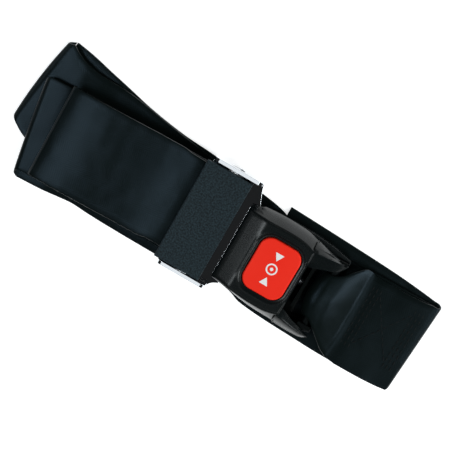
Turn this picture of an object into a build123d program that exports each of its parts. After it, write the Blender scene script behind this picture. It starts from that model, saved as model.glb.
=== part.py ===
from build123d import *
import math
import os

# A two-inch webbing strap with a push-button buckle, lying buckled and folded flat in a bundle.
# Frame: origin on the table below the button's centre, +X along the strap towards the sewn end,
# +Y across the strap, +Z up. The tongue enters the buckle from -X. All sizes are in millimetres.

os.makedirs("parts", exist_ok=True)

# ---- webbing
web_width = 50.8
web_thickness = 1.2
layer_gap = 0.3
layer_pitch = web_thickness + layer_gap
web_bend = 8.0                 # radius where a lying layer bends up or down
end_fold_apex_x = 85.5
flap_end_x = -5.7
flap_end_y = 3.8
sewn_end_y = -2.6
lower_run_bends = [(-50.0, 6.5), (-8.7, -1.6)]   # where its centre line changes direction, x and y
neck_width = 35.0              # webbing gathered between the buckle's arms
neck_x = 34.0
sewn_flat_x = 48.0

# folds at the far end of the bundle: apex of the crest line, its lean from +Y, and its lower face
outer_loop_x, outer_loop_y, outer_loop_lean = -148.5, 22.4, 9.5
middle_fold_x, middle_fold_y, middle_fold_lean = -141.5, -0.6, -8.0
top_fold_x, top_fold_y, top_fold_lean = -130.5, 4.0, 0.0
outer_loop_height = 6.0
middle_fold_height = 5.0
top_fold_height = 6.0
hidden_fold_x = -26.6          # apex of the folds that lie below the adjuster
hidden_fold_y = 2.5

# ---- adjuster tongue
adjuster_y = 4.0               # the adjuster frame sits off the blade's centre line
rail_width = 4.0
adjuster_left_x = -51.5
adjuster_right_x = -24.0
flange_thickness = 2.0
flange_rise = 1.9               # above the slide bar
plate_bottom_z = 11.0
plate_thickness = 2.0
blade_tip_x = 9.0
blade_width = 35.0
shoulder_x = -16.0
shoulder_neck_x = -19.0
shoulder_neck_width = 44.0
frame_window_x = (-48.5, -32.0)
web_side_gap = 1.5
catch_window = (8.0, 14.0)
catch_window_x = -3.0
tongue_travel = 26.0

# ---- slide bar and its cover
bar_x = -40.0
bar_diameter = 5.0
bar_clearance = 0.3
bar_travel = 2.5
fit_clearance = 0.05
cover_left_x = -54.0
cover_right_x = -28.5
cover_wall = 1.6
cheek_thickness = 1.5
cover_gap = 0.4                # between the cover and the webbing below it
cheek_gap = 1.0
cheek_half_length = 6.0

# ---- buckle housing
housing_left_x = -24.0
lip_x = 15.2
arm_tip_x = 34.0
base_gap = 0.3
split_z = 10.0
housing_top_z = 21.2
nose_z = 17.5
nose_flat_x = -14.0
lip_inset = 2.1
wall = 1.8
side_mouth_x = -17.5

# ---- button
button_length, button_width = 22.7, 28.6
button_corner = 6.2
button_top_z = 21.9
button_gap = 0.35
button_travel = 3.0
button_x = 0.5
button_flange_z = (16.4, 18.0)
button_flange_length, button_flange_width = 26.0, 31.0
button_tab_x = (-12.0, 6.0)
button_leg_thickness = 1.2
button_spring_x = 3.5
bezel_width = 2.4
bezel_height = 0.4
icon_height = 0.15

# ---- buckle mechanism
frame_thickness = 1.6
frame_left_x, frame_right_x = -16.0, 20.0
ear_thickness = 2.0
ear_gap = 0.5
anchor_x, anchor_z = 29.5, 9.2
ear_half_length = 3.5
anchor_diameter = 5.0
leaf_thickness = 0.8
leaf_width = 12.0
leaf_z = 9.8                   # mid height of the leaf below the blade
leaf_arm_x = (-6.0, 0.0)
tooth_length, tooth_width = 4.6, 10.0
rivet_x = -12.5
rivet_spacing = 6.0
rivet_radius = 1.5
ejector_length = 6.0
ejector_width = 26.0
ejector_travel = 8.0
ejector_spring_radius = 2.0
button_spring_radius = 1.0
spring_wire = 0.5

frame_window_width = web_width + 2 * web_side_gap
adjuster_width = frame_window_width + 2 * rail_width
cover_width = web_width + 2 * (cheek_gap + cheek_thickness)
frame_width = max(neck_width, blade_width) + 2 * (ear_gap + ear_thickness)
base_bottom_z = 2 * layer_pitch - layer_gap + base_gap
plate_top_z = plate_bottom_z + plate_thickness
bar_z = plate_top_z + bar_clearance + bar_diameter / 2
bar_wrap_radius = bar_diameter / 2 + bar_clearance + web_thickness / 2
flange_top_z = bar_z + bar_diameter / 2 + flange_rise
cover_top_z = bar_z + bar_wrap_radius + web_thickness / 2 + cover_gap + cover_wall
anchor_wrap_radius = anchor_diameter / 2 + bar_clearance + web_thickness / 2
frame_bottom_z = base_bottom_z + wall
frame_top_z = frame_bottom_z + frame_thickness
cavity_half_width = frame_width / 2 + 0.3
mouth_top_z = plate_top_z + 1.0
pocket_right_x = anchor_x + ear_half_length + 0.4
passage_half_width = neck_width / 2 + 1.2


def level(layer):
    """Mid height of a lying layer, counted from the table."""
    return web_thickness / 2 + layer * layer_pitch


def save(name, piece):
    piece.part.label = name
    export_step(piece.part, f"parts/{name}.step")


class Fold:
    """A U-turn of the webbing about a crest line: facing is -1 at the far end and +1 towards the sewn end."""

    def __init__(self, apex_x, y, lean, low_mid_z, height, facing=-1):
        self.radius = height / 2
        self.low, self.high = low_mid_z, low_mid_z + height - web_thickness
        lean = math.radians(lean)
        self.outward = Vector(facing * math.cos(lean), math.sin(lean), 0)
        self.crest = Vector(math.sin(lean), -facing * math.cos(lean), 0)
        self.centre = Vector(apex_x, y, 0) - self.outward * self.radius

    def end(self, side, width=web_width):
        """A corner of the webbing where the turn starts, at the +Y side or the -Y side."""
        sign = side if self.crest.Y > 0 else -side
        corner = self.centre + self.crest * (sign * width / 2)
        return (corner.X, corner.Y)

    def build(self, name):
        middle = Vector(self.centre.X, self.centre.Y, (self.low + self.high) / 2)
        with BuildPart() as turn:
            with BuildSketch(Plane(origin=middle, x_dir=self.outward, z_dir=self.crest)):
                Circle(self.radius)
                Circle(self.radius - web_thickness, mode=Mode.SUBTRACT)
                Rectangle(self.radius, 2 * self.radius, align=(Align.MAX, Align.CENTER), mode=Mode.SUBTRACT)
            extrude(amount=web_width / 2, both=True)
        save(name, turn)


def ribbon(name, profile, plan, bend=web_bend):
    """A stretch of webbing: its side profile given at mid thickness, cut to its outline from above."""
    with BuildPart() as stretch:
        with BuildSketch(Plane.XZ):
            with BuildLine():
                if len(profile) > 2:
                    FilletPolyline(*profile, radius=bend)
                else:
                    Polyline(*profile)
            trace(line_width=web_thickness)
        extrude(amount=2 * web_width, both=True)
        with BuildSketch(Plane.XY):
            with BuildLine():
                Polyline(*plan, close=True)
            make_face()
        extrude(amount=40, both=True, mode=Mode.INTERSECT)
    save(name, stretch)


def wrap(name, x, y, z, radius, width, turn_side):
    """Half a turn of webbing round a bar that lies along Y, on the bar's +X or -X side."""
    keep = Align.MAX if turn_side > 0 else Align.MIN
    with BuildPart() as turn:
        with BuildSketch(Plane.XZ.offset(-y)):
            with Locations((x, z)):
                Circle(radius + web_thickness / 2)
                Circle(radius - web_thickness / 2, mode=Mode.SUBTRACT)
                Rectangle(3 * radius, 3 * radius, align=(keep, Align.CENTER), mode=Mode.SUBTRACT)
        extrude(amount=width / 2, both=True)
    save(name, turn)


def coil(name, start, direction, length, radius, turns):
    """A round-wire compression spring."""
    with BuildPart() as spring:
        with BuildLine():
            path = Helix(pitch=length / turns, height=length, radius=radius, center=start,
                         direction=direction)
        with BuildSketch(Plane(origin=path @ 0, z_dir=path % 0)):
            Circle(spring_wire / 2)
        sweep(is_frenet=True)
    save(name, spring)


def mirrored(half):
    """A closed outline from its +Y half, listed from -X to +X."""
    return half + [(x, -y) for x, y in reversed(half)]


# ---- folds of the bundle
outer_loop = Fold(outer_loop_x, outer_loop_y, outer_loop_lean, level(0), outer_loop_height)
middle_low = outer_loop.high + layer_pitch
middle_fold = Fold(middle_fold_x, middle_fold_y, middle_fold_lean, middle_low, middle_fold_height)
top_low = middle_fold.high + layer_pitch
top_fold = Fold(top_fold_x, top_fold_y, top_fold_lean, top_low, top_fold_height)
hidden_height = 2 * web_thickness + layer_gap
crest_spare = 10               # a run starts beyond its leaning crest and is trimmed to it by its outline
lower_hidden = Fold(hidden_fold_x, hidden_fold_y, 0, level(1), hidden_height, facing=1)
upper_hidden = Fold(hidden_fold_x, hidden_fold_y, 0, level(3), hidden_height, facing=1)


def make_sewn_end():
    outer_turn = Fold(end_fold_apex_x, sewn_end_y, 0, level(0), 4 * web_thickness + 3 * layer_gap, facing=1)
    inner_apex = outer_turn.centre.X + hidden_height / 2
    inner_turn = Fold(inner_apex, sewn_end_y, 0, level(1), hidden_height, facing=1)
    outer_turn.build("end_turn_outer")
    inner_turn.build("end_turn_inner")
    half = web_width / 2
    turn_x = outer_turn.centre.X
    ribbon("end_flap", [(flap_end_x, level(0)), (turn_x, level(0))],
           [(flap_end_x, flap_end_y + half), outer_turn.end(1), outer_turn.end(-1),
            (flap_end_x, flap_end_y - half)])
    neck = neck_width / 2
    sewn_plan = [(anchor_x, neck), (neck_x, neck), (sewn_flat_x, sewn_end_y + half), outer_turn.end(1),
                 outer_turn.end(-1), (sewn_flat_x, sewn_end_y - half), (neck_x, -neck), (anchor_x, -neck)]
    top_z, bottom_z = anchor_z + anchor_wrap_radius, anchor_z - anchor_wrap_radius
    ribbon("sewn_top_leg", [(anchor_x, top_z), (neck_x, top_z), (sewn_flat_x, level(3)), (turn_x, level(3))],
           sewn_plan)
    ribbon("sewn_lower_leg", [(anchor_x, bottom_z), (neck_x - 2, bottom_z), (sewn_flat_x - 3, level(2)),
                              (turn_x, level(2))], sewn_plan)
    wrap("anchor_wrap", anchor_x, 0, anchor_z, anchor_wrap_radius, neck_width, -1)
    step_x = flap_end_x - 3
    ribbon("lower_run",
           [(outer_loop.centre.X - crest_spare, level(0)), (step_x - 12, level(0)), (step_x, level(1)),
            (turn_x, level(1))],
           [outer_loop.end(1), *[(x, y + half) for x, y in lower_run_bends], inner_turn.end(1),
            inner_turn.end(-1), *[(x, y - half) for x, y in reversed(lower_run_bends)], outer_loop.end(-1)])


def make_folded_bundle():
    outer_loop.build("outer_loop")
    middle_fold.build("middle_fold")
    top_fold.build("top_fold")
    lower_hidden.build("hidden_fold_lower")
    upper_hidden.build("hidden_fold_upper")
    right_x = lower_hidden.centre.X
    ribbon("run_to_lower_fold",
           [(outer_loop.centre.X - crest_spare, outer_loop.high), (-135, outer_loop.high), (-105, level(1)),
            (right_x, level(1))],
           [outer_loop.end(1), lower_hidden.end(1), lower_hidden.end(-1), outer_loop.end(-1)])
    ribbon("run_to_middle_fold",
           [(middle_fold.centre.X - crest_spare, middle_fold.low), (-130, middle_fold.low), (-100, level(2)),
            (right_x, level(2))],
           [middle_fold.end(1), lower_hidden.end(1), lower_hidden.end(-1), middle_fold.end(-1)])
    ribbon("run_to_upper_fold",
           [(middle_fold.centre.X - crest_spare, middle_fold.high), (-127, middle_fold.high), (-94, level(3)),
            (right_x, level(3))],
           [middle_fold.end(1), upper_hidden.end(1), upper_hidden.end(-1), middle_fold.end(-1)])
    ribbon("run_to_top_fold",
           [(top_fold.centre.X, top_fold.low), (-120, top_fold.low), (-88, level(4)), (right_x, level(4))],
           [top_fold.end(1), upper_hidden.end(1), upper_hidden.end(-1), top_fold.end(-1)])
    half = web_width / 2
    bar_corner = [(bar_x, adjuster_y + half), (bar_x, adjuster_y - half)]
    wrap_top = bar_z + bar_wrap_radius
    wrap_bottom = bar_z - bar_wrap_radius
    ribbon("top_run",
           [(top_fold.centre.X, top_fold.high), (-62, top_fold.high), (bar_x - 3, wrap_top),
            (bar_x, wrap_top)],
           [top_fold.end(1), *bar_corner, top_fold.end(-1)], bend=4)
    tail_z = level(5)
    tail_end = -84
    ribbon("free_tail",
           [(tail_end, tail_z), (-58, tail_z), (-49.5, 9.3), (bar_x - 1.5, wrap_bottom),
            (bar_x, wrap_bottom)],
           [(tail_end, adjuster_y + half), *bar_corner, (tail_end, adjuster_y - half)], bend=1.5)
    wrap("bar_wrap", bar_x, adjuster_y, bar_z, bar_wrap_radius, web_width, 1)


def make_stitching():
    """Box-and-cross stitching that sews the two upper layers together, standing just proud of the top one."""
    top = level(3) + web_thickness / 2
    thread = 0.35
    box_left, box_right, box_half = 51.0, 80.0, 16.0
    mid_x = (box_left + box_right) / 2
    with BuildPart() as rows:
        with BuildSketch(Plane.XY.offset(top)):
            with Locations(*[(box_left + 2.2 * n, sewn_end_y) for n in range(3)]):
                Rectangle(0.8, 2 * box_half)
            with Locations(*[(box_right - 2.2 * n, sewn_end_y) for n in range(3)]):
                Rectangle(0.8, 2 * box_half)
        extrude(amount=thread)
    save("stitch_rows", rows)
    span_x, span_y = box_right - box_left - 12, 2 * box_half - 6
    length = math.hypot(span_x, span_y)
    angle = math.degrees(math.atan2(span_y, span_x))
    with BuildPart() as cross:
        with BuildSketch(Plane.XY.offset(top)):
            with Locations((mid_x, sewn_end_y)):
                Rectangle(length, 0.8, rotation=angle)
                Rectangle(length, 0.8, rotation=-angle)
        extrude(amount=thread)
    save("stitch_cross", cross)


def make_tongue():
    half = adjuster_width / 2
    blade = blade_width / 2
    neck = shoulder_neck_width / 2
    upper, lower = adjuster_y + half, adjuster_y - half
    shoulder_mid_x = (adjuster_right_x + shoulder_neck_x) / 2 - 0.1
    blade_root_x = shoulder_neck_x + 0.8
    window_length = frame_window_x[1] - frame_window_x[0]
    with BuildPart() as tongue:
        with BuildSketch(Plane.XY.offset(plate_bottom_z)):
            with BuildLine():
                Polyline((adjuster_right_x, upper), (adjuster_left_x, upper), (adjuster_left_x, lower),
                         (adjuster_right_x, lower))
                ThreePointArc((adjuster_right_x, lower), (shoulder_mid_x, (lower - neck) / 2 + 1.2),
                              (shoulder_neck_x, -neck))
                ThreePointArc((shoulder_neck_x, -neck), (blade_root_x, -neck + 3.2), (shoulder_x, -blade))
                Polyline((shoulder_x, -blade), (blade_tip_x - 3, -blade), (blade_tip_x, -blade + 3),
                         (blade_tip_x, blade - 3), (blade_tip_x - 3, blade), (shoulder_x, blade))
                ThreePointArc((shoulder_x, blade), (blade_root_x, neck - 3.2), (shoulder_neck_x, neck))
                ThreePointArc((shoulder_neck_x, neck), (shoulder_mid_x, (upper + neck) / 2 - 1.2),
                              (adjuster_right_x, upper))
            make_face()
            window_mid = sum(frame_window_x) / 2
            with Locations((window_mid, adjuster_y)):
                RectangleRounded(window_length, frame_window_width, 1.5, mode=Mode.SUBTRACT)
            with Locations((catch_window_x, 0)):
                RectangleRounded(*catch_window, 1.5, mode=Mode.SUBTRACT)
        extrude(amount=plate_thickness)
        with BuildSketch(Plane.XY.offset(plate_top_z)):
            with Locations(((adjuster_left_x + adjuster_right_x) / 2, adjuster_y)):
                with Locations((0, half - flange_thickness / 2), (0, flange_thickness / 2 - half)):
                    Rectangle(adjuster_right_x - adjuster_left_x, flange_thickness)
        extrude(amount=flange_top_z - plate_top_z)
        fillet(tongue.edges().filter_by(Axis.Y).group_by(Axis.Z)[-1], 3.0)
        slot_height = bar_diameter + 2 * fit_clearance
        with BuildSketch(Plane.XZ):
            with Locations((bar_x + bar_travel / 2, bar_z)):
                SlotOverall(slot_height + bar_travel, slot_height)
        extrude(amount=adjuster_width, both=True, mode=Mode.SUBTRACT)
    save("tongue_plate", tongue)


def make_slide_bar():
    with BuildPart() as bar:
        with BuildSketch(Plane.XZ.offset(-adjuster_y)):
            with Locations((bar_x, bar_z)):
                Circle(bar_diameter / 2)
        extrude(amount=adjuster_width / 2, both=True)
        chamfer(bar.edges().filter_by(GeomType.CIRCLE), 0.4)
    save("slide_bar", bar)


def make_bar_cover():
    length = cover_right_x - cover_left_x
    mid_x = (cover_left_x + cover_right_x) / 2
    cheek_mid = web_width / 2 + cheek_gap + cheek_thickness / 2
    front_bottom_z = plate_top_z + 0.6
    skirt = cover_top_z - cover_wall - front_bottom_z
    with BuildPart() as cover:
        with BuildSketch(Plane.XY.offset(cover_top_z - cover_wall)):
            with Locations((mid_x, adjuster_y)):
                Rectangle(length, cover_width)
        extrude(amount=cover_wall)
        with BuildSketch(Plane.XY.offset(front_bottom_z)):
            with Locations((cover_right_x - cover_wall / 2, adjuster_y)):
                Rectangle(cover_wall, cover_width)
            with Locations((bar_x, adjuster_y)):
                with Locations((0, cheek_mid), (0, -cheek_mid)):
                    Rectangle(2 * cheek_half_length, cheek_thickness)
        extrude(amount=skirt)
        fillet(cover.edges().filter_by(Axis.Y).group_by(Axis.Z)[-1], 0.7)
        with BuildSketch(Plane.XZ):
            with Locations((bar_x, bar_z)):
                Circle(bar_diameter / 2 + fit_clearance)
        extrude(amount=cover_width, both=True, mode=Mode.SUBTRACT)
    save("bar_cover", cover)


# housing outlines at the parting line and at the top face, from the nose to the far end, +Y half
cavity_y = cavity_half_width
base_half = [(housing_left_x + 2, cavity_y + 0.7), (-11.0, cavity_y + 3.0), (0.0, cavity_y + 4.1),
             (12.0, cavity_y + 4.1), (23.0, cavity_y + 3.2), (arm_tip_x, cavity_y + 1.0)]
shell_half = [(housing_left_x, cavity_y + 0.3), (-11.0, cavity_y + 3.0), (0.0, cavity_y + 4.1),
              (6.0, cavity_y + 4.2), (12.0, cavity_y + 4.1), (lip_x, cavity_y + 3.9)]
top_half = [(housing_left_x, cavity_y - 0.5), (-11.0, cavity_y + 0.3), (0.0, cavity_y + 0.6),
            (6.0, cavity_y + 0.3), (11.0, cavity_y - 0.7), (lip_x, cavity_y - lip_inset)]
arm_root_z, arm_tip_z = 19.0, 11.5


def box_between(x_range, half_width, z_range, mode=Mode.ADD):
    """A block about the strap's centre plane, added to or cut from the part being built."""
    with BuildSketch(Plane.XY.offset(z_range[0])) as block:
        with Locations((x_range[0], 0)):
            Rectangle(x_range[1] - x_range[0], 2 * half_width, align=(Align.MIN, Align.CENTER))
    extrude(block.sketch, amount=z_range[1] - z_range[0], mode=mode)


def make_housing_base():
    floor_right_x = frame_right_x + 1.5
    beyond = arm_tip_x + 1
    with BuildPart() as base:
        with BuildSketch(Plane.XY.offset(base_bottom_z)):
            with BuildLine():
                Polyline(*mirrored(base_half), close=True)
            make_face()
        extrude(amount=split_z - base_bottom_z)
        chamfer(base.edges().group_by(Axis.Z)[0], 0.6)
        box_between((housing_left_x, pocket_right_x), cavity_half_width, (frame_bottom_z, split_z),
                    Mode.SUBTRACT)
        box_between((housing_left_x, side_mouth_x), adjuster_width, (frame_bottom_z, split_z), Mode.SUBTRACT)
        box_between((floor_right_x, pocket_right_x), cavity_half_width, (base_bottom_z, split_z),
                    Mode.SUBTRACT)
        box_between((floor_right_x, beyond), passage_half_width, (base_bottom_z, split_z), Mode.SUBTRACT)
    save("housing_base", base)


def make_housing_top():
    flange_half = button_flange_length / 2 + 0.6
    cavity_top_z = button_flange_z[1] + 0.4
    with BuildPart() as top:
        with BuildSketch(Plane.XY.offset(split_z)):
            with BuildLine():
                Polyline(*mirrored(shell_half), close=True)
            make_face()
        with BuildSketch(Plane.XY.offset(housing_top_z)):
            with BuildLine():
                Polyline(*mirrored(top_half), close=True)
            make_face()
        loft()
        with BuildSketch(Plane.XY.offset(housing_top_z)):
            with Locations((button_x, 0)):
                RectangleRounded(button_length + 2 * bezel_width, button_width + 2 * bezel_width,
                                 button_corner + bezel_width)
        extrude(amount=bezel_height)
        with BuildSketch(Plane.XZ):
            with BuildLine():
                Polyline((housing_left_x - 1, nose_z), (nose_flat_x, housing_top_z),
                         (housing_left_x - 1, housing_top_z + 1), close=True)
            make_face()
        extrude(amount=adjuster_width, both=True, mode=Mode.SUBTRACT)
        with BuildSketch(Plane.XY.offset(split_z)):
            for hand in (1, -1):
                with BuildLine():
                    Polyline((lip_x - 0.5, hand * (cavity_y + 3.8)), (23.0, hand * (cavity_y + 3.2)),
                             (arm_tip_x, hand * (cavity_y + 1.0)), (arm_tip_x, hand * (cavity_y - 0.3)),
                             (lip_x + 9, hand * passage_half_width), (lip_x - 0.5, hand * passage_half_width),
                             close=True)
                make_face()
        extrude(amount=arm_root_z - split_z)
        with BuildSketch(Plane.XZ):
            with BuildLine():
                Polyline((lip_x, arm_root_z), (arm_tip_x + 1, arm_tip_z), (arm_tip_x + 1, housing_top_z),
                         (lip_x, housing_top_z), close=True)
            make_face()
        extrude(amount=adjuster_width, both=True, mode=Mode.SUBTRACT)
        box_between((housing_left_x, pocket_right_x), cavity_half_width, (split_z, mouth_top_z),
                    Mode.SUBTRACT)
        box_between((housing_left_x, side_mouth_x), adjuster_width, (split_z, mouth_top_z), Mode.SUBTRACT)
        box_between((button_x - flange_half, button_x + flange_half), button_flange_width / 2 + 0.6,
                    (mouth_top_z, cavity_top_z), Mode.SUBTRACT)
        box_between((button_tab_x[0] - 0.6, button_tab_x[1] + 0.6), cavity_half_width,
                    (mouth_top_z, cavity_top_z), Mode.SUBTRACT)
        with BuildSketch(Plane.XY.offset(cavity_top_z)):
            with Locations((button_x, 0)):
                RectangleRounded(button_length + 2 * button_gap, button_width + 2 * button_gap,
                                 button_corner + button_gap)
        extrude(amount=housing_top_z, mode=Mode.SUBTRACT)
    save("housing_top", top)


def make_button():
    tab_half = cavity_half_width - 0.4
    leg_bottom_z = leaf_z + leaf_thickness / 2 + 0.3
    with BuildPart() as button:
        with BuildSketch(Plane.XY.offset(button_flange_z[1])):
            with Locations((button_x, 0)):
                RectangleRounded(button_length, button_width, button_corner)
        extrude(amount=button_top_z - button_flange_z[1])
        fillet(button.edges().group_by(Axis.Z)[-1], 0.8)
        with BuildSketch(Plane.XY.offset(button_flange_z[0])):
            with Locations((button_x, 0)):
                RectangleRounded(button_flange_length, button_flange_width, button_corner)
        extrude(amount=button_flange_z[1] - button_flange_z[0])
        box_between(button_tab_x, tab_half, button_flange_z)
        with BuildSketch(Plane.XY.offset(leg_bottom_z)):
            for side in (1, -1):
                with Locations((sum(leaf_arm_x) / 2, side * (tab_half - button_leg_thickness / 2))):
                    Rectangle(leaf_arm_x[1] - leaf_arm_x[0], button_leg_thickness)
        extrude(amount=button_flange_z[0] - leg_bottom_z)
    save("button", button)


def make_button_icon():
    """A plain press-here sign: a ringed dot between two arrowheads that point at it."""
    ring, dot, line = 3.0, 0.9, 0.8
    with BuildPart() as icon:
        with BuildSketch(Plane.XY.offset(button_top_z)):
            with Locations((button_x, 0)):
                Circle(ring)
                Circle(ring - line, mode=Mode.SUBTRACT)
                Circle(dot)
            for side in (1, -1):
                with BuildLine():
                    Polyline((button_x, side * 4.6), (button_x + 2.4, side * 8.8),
                             (button_x - 2.4, side * 8.8),
                             close=True)
                make_face()
        extrude(amount=icon_height)
    save("button_icon", icon)


def make_buckle_frame():
    ear_y = frame_width / 2 - ear_thickness / 2
    ear_left_x, ear_right_x = anchor_x - ear_half_length, anchor_x + ear_half_length
    ear_top_z = anchor_z + 4.2
    with BuildPart() as frame:
        box_between((frame_left_x, frame_right_x), frame_width / 2, (frame_bottom_z, frame_top_z))
        with BuildSketch(Plane.XY.offset(frame_bottom_z)):
            with Locations((frame_right_x, ear_y), (frame_right_x, -ear_y)):
                Rectangle(ear_right_x - frame_right_x, ear_thickness, align=(Align.MIN, Align.CENTER))
        extrude(amount=frame_thickness)
        with BuildSketch(Plane.XY.offset(frame_top_z)):
            with Locations((ear_left_x, ear_y), (ear_left_x, -ear_y)):
                Rectangle(ear_right_x - ear_left_x, ear_thickness, align=(Align.MIN, Align.CENTER))
        extrude(amount=ear_top_z - frame_top_z)
        box_between((frame_right_x - frame_thickness, frame_right_x), ejector_width / 2,
                    (frame_top_z, plate_top_z))
        with BuildSketch(Plane.XZ):
            with Locations((anchor_x, anchor_z)):
                Circle(anchor_diameter / 2 + fit_clearance)
        extrude(amount=frame_width, both=True, mode=Mode.SUBTRACT)
        with BuildSketch(Plane.XY.offset(frame_bottom_z)):
            with Locations((rivet_x, 0)):
                with GridLocations(0, rivet_spacing, 1, 2):
                    Circle(rivet_radius + fit_clearance)
        extrude(amount=frame_thickness, mode=Mode.SUBTRACT)
    save("buckle_frame", frame)


def make_latch_leaf():
    """A spring-steel leaf riveted to the frame; its tooth holds the blade by the catch window."""
    seat_z = frame_top_z + leaf_thickness / 2
    leaf_top_z = leaf_z + leaf_thickness / 2
    tooth_x = catch_window_x - tooth_length / 2
    with BuildPart() as leaf:
        with BuildSketch(Plane.XZ):
            with BuildLine():
                FilletPolyline((rivet_x - 3, seat_z), (rivet_x + 2.5, seat_z), (rivet_x + 5, leaf_z),
                               (leaf_arm_x[1] + 0.5, leaf_z), radius=1.0)
            trace(line_width=leaf_thickness)
        extrude(amount=leaf_width / 2, both=True)
        box_between(leaf_arm_x, cavity_half_width - 0.4, (leaf_top_z - leaf_thickness, leaf_top_z))
        box_between((tooth_x, tooth_x + tooth_length), tooth_width / 2, (leaf_top_z, plate_top_z - 0.2))
        with BuildSketch(Plane.XY.offset(frame_top_z)):
            with Locations((rivet_x, 0)):
                with GridLocations(0, rivet_spacing, 1, 2):
                    Circle(rivet_radius + fit_clearance)
        extrude(amount=leaf_thickness, mode=Mode.SUBTRACT)
    save("latch_leaf", leaf)


def make_leaf_rivets():
    shank_top_z = frame_top_z + leaf_thickness
    with BuildPart() as rivets:
        for z, radius, height in ((frame_bottom_z, rivet_radius, shank_top_z - frame_bottom_z),
                                  (shank_top_z, 1.5 * rivet_radius, leaf_thickness)):
            with BuildSketch(Plane.XY.offset(z)):
                with Locations((rivet_x, 0)):
                    with GridLocations(0, rivet_spacing, 1, 2):
                        Circle(radius)
            extrude(amount=height)
    save("leaf_rivets", rivets)


def make_ejector():
    left_x = blade_tip_x + 0.3
    with BuildPart() as ejector:
        box_between((left_x, left_x + ejector_length), ejector_width / 2,
                    (frame_top_z + 0.3, plate_top_z + 0.1))
        chamfer(ejector.edges().filter_by(Axis.Y).group_by(Axis.Z)[-1], 0.6)
    save("ejector", ejector)


def make_springs():
    ejector_back_x = blade_tip_x + 0.3 + ejector_length
    stop_front_x = frame_right_x - frame_thickness
    clear = spring_wire / 2 + 0.05
    mid_z = (frame_top_z + plate_top_z) / 2
    coil("ejector_spring", (ejector_back_x + clear, 0, mid_z), (1, 0, 0),
         stop_front_x - ejector_back_x - 2 * clear, ejector_spring_radius, 3)
    spring_y = (blade_width / 2 + cavity_half_width) / 2
    for side, name in ((1, "button_spring_left"), (-1, "button_spring_right")):
        coil(name, (button_spring_x, side * spring_y, frame_top_z + clear), (0, 0, 1),
             button_flange_z[0] - frame_top_z - 2 * clear, button_spring_radius, 7)


def make_anchor_bar():
    with BuildPart() as bar:
        with BuildSketch(Plane.XZ):
            with Locations((anchor_x, anchor_z)):
                Circle(anchor_diameter / 2)
        extrude(amount=frame_width / 2, both=True)
        chamfer(bar.edges().filter_by(GeomType.CIRCLE), 0.4)
    save("anchor_bar", bar)


make_sewn_end()
make_folded_bundle()
make_stitching()
make_tongue()
make_slide_bar()
make_bar_cover()
make_housing_base()
make_housing_top()
make_button()
make_button_icon()
make_buckle_frame()
make_latch_leaf()
make_leaf_rivets()
make_ejector()
make_springs()
make_anchor_bar()
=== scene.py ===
"""A black webbing strap with a push-button buckle, lying buckled and folded flat on a pale table."""
import math

import bmesh
import bpy
from mathutils import Matrix, Vector, noise


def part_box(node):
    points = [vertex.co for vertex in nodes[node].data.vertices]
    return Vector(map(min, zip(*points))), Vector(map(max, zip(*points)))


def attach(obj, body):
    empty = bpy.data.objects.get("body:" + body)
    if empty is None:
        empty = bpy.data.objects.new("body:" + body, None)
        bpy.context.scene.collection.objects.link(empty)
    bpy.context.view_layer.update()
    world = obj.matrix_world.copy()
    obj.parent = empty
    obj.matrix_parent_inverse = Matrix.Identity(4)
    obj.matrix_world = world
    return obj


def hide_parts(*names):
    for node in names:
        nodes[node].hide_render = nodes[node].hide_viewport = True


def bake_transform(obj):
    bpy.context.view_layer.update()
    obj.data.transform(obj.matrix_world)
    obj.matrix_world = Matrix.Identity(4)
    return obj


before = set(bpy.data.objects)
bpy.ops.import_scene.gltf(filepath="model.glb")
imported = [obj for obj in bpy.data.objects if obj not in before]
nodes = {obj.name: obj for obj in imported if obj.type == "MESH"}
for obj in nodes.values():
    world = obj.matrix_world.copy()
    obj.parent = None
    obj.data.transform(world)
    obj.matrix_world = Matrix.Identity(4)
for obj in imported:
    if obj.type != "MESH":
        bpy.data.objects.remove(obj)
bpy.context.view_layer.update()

MM = 0.001
UP = Vector((0, 0, 1))


# ---------------------------------------------------------------- where the metal and plastic parts are
def low(node):
    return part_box(node)[0] / MM


def high(node):
    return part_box(node)[1] / MM


def middle(node):
    return (low(node) + high(node)) / 2


# ---------------------------------------------------------------- shader arithmetic
class Flow:
    """A number or colour in a material's tree, with the usual operators on numbers."""

    def __init__(self, finish, socket):
        self.finish = finish
        self.socket = socket

    def _with(self, operation, first, second):
        return self.finish.node("ShaderNodeMath", {"operation": operation}, {0: first, 1: second})

    def __add__(self, other):
        return self._with("ADD", self, other)

    def __radd__(self, other):
        return self._with("ADD", other, self)

    def __sub__(self, other):
        return self._with("SUBTRACT", self, other)

    def __rsub__(self, other):
        return self._with("SUBTRACT", other, self)

    def __mul__(self, other):
        return self._with("MULTIPLY", self, other)

    def __rmul__(self, other):
        return self._with("MULTIPLY", other, self)

    def __truediv__(self, other):
        return self._with("DIVIDE", self, other)

    def __mod__(self, other):
        return self._with("FLOORED_MODULO", self, other)

    def __gt__(self, other):
        return self._with("GREATER_THAN", self, other)

    def floor(self):
        return self._with("FLOOR", self, 0.0)

    def size(self):
        return self._with("ABSOLUTE", self, 0.0)

    def sine(self):
        return self._with("SINE", self, 0.0)


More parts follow.
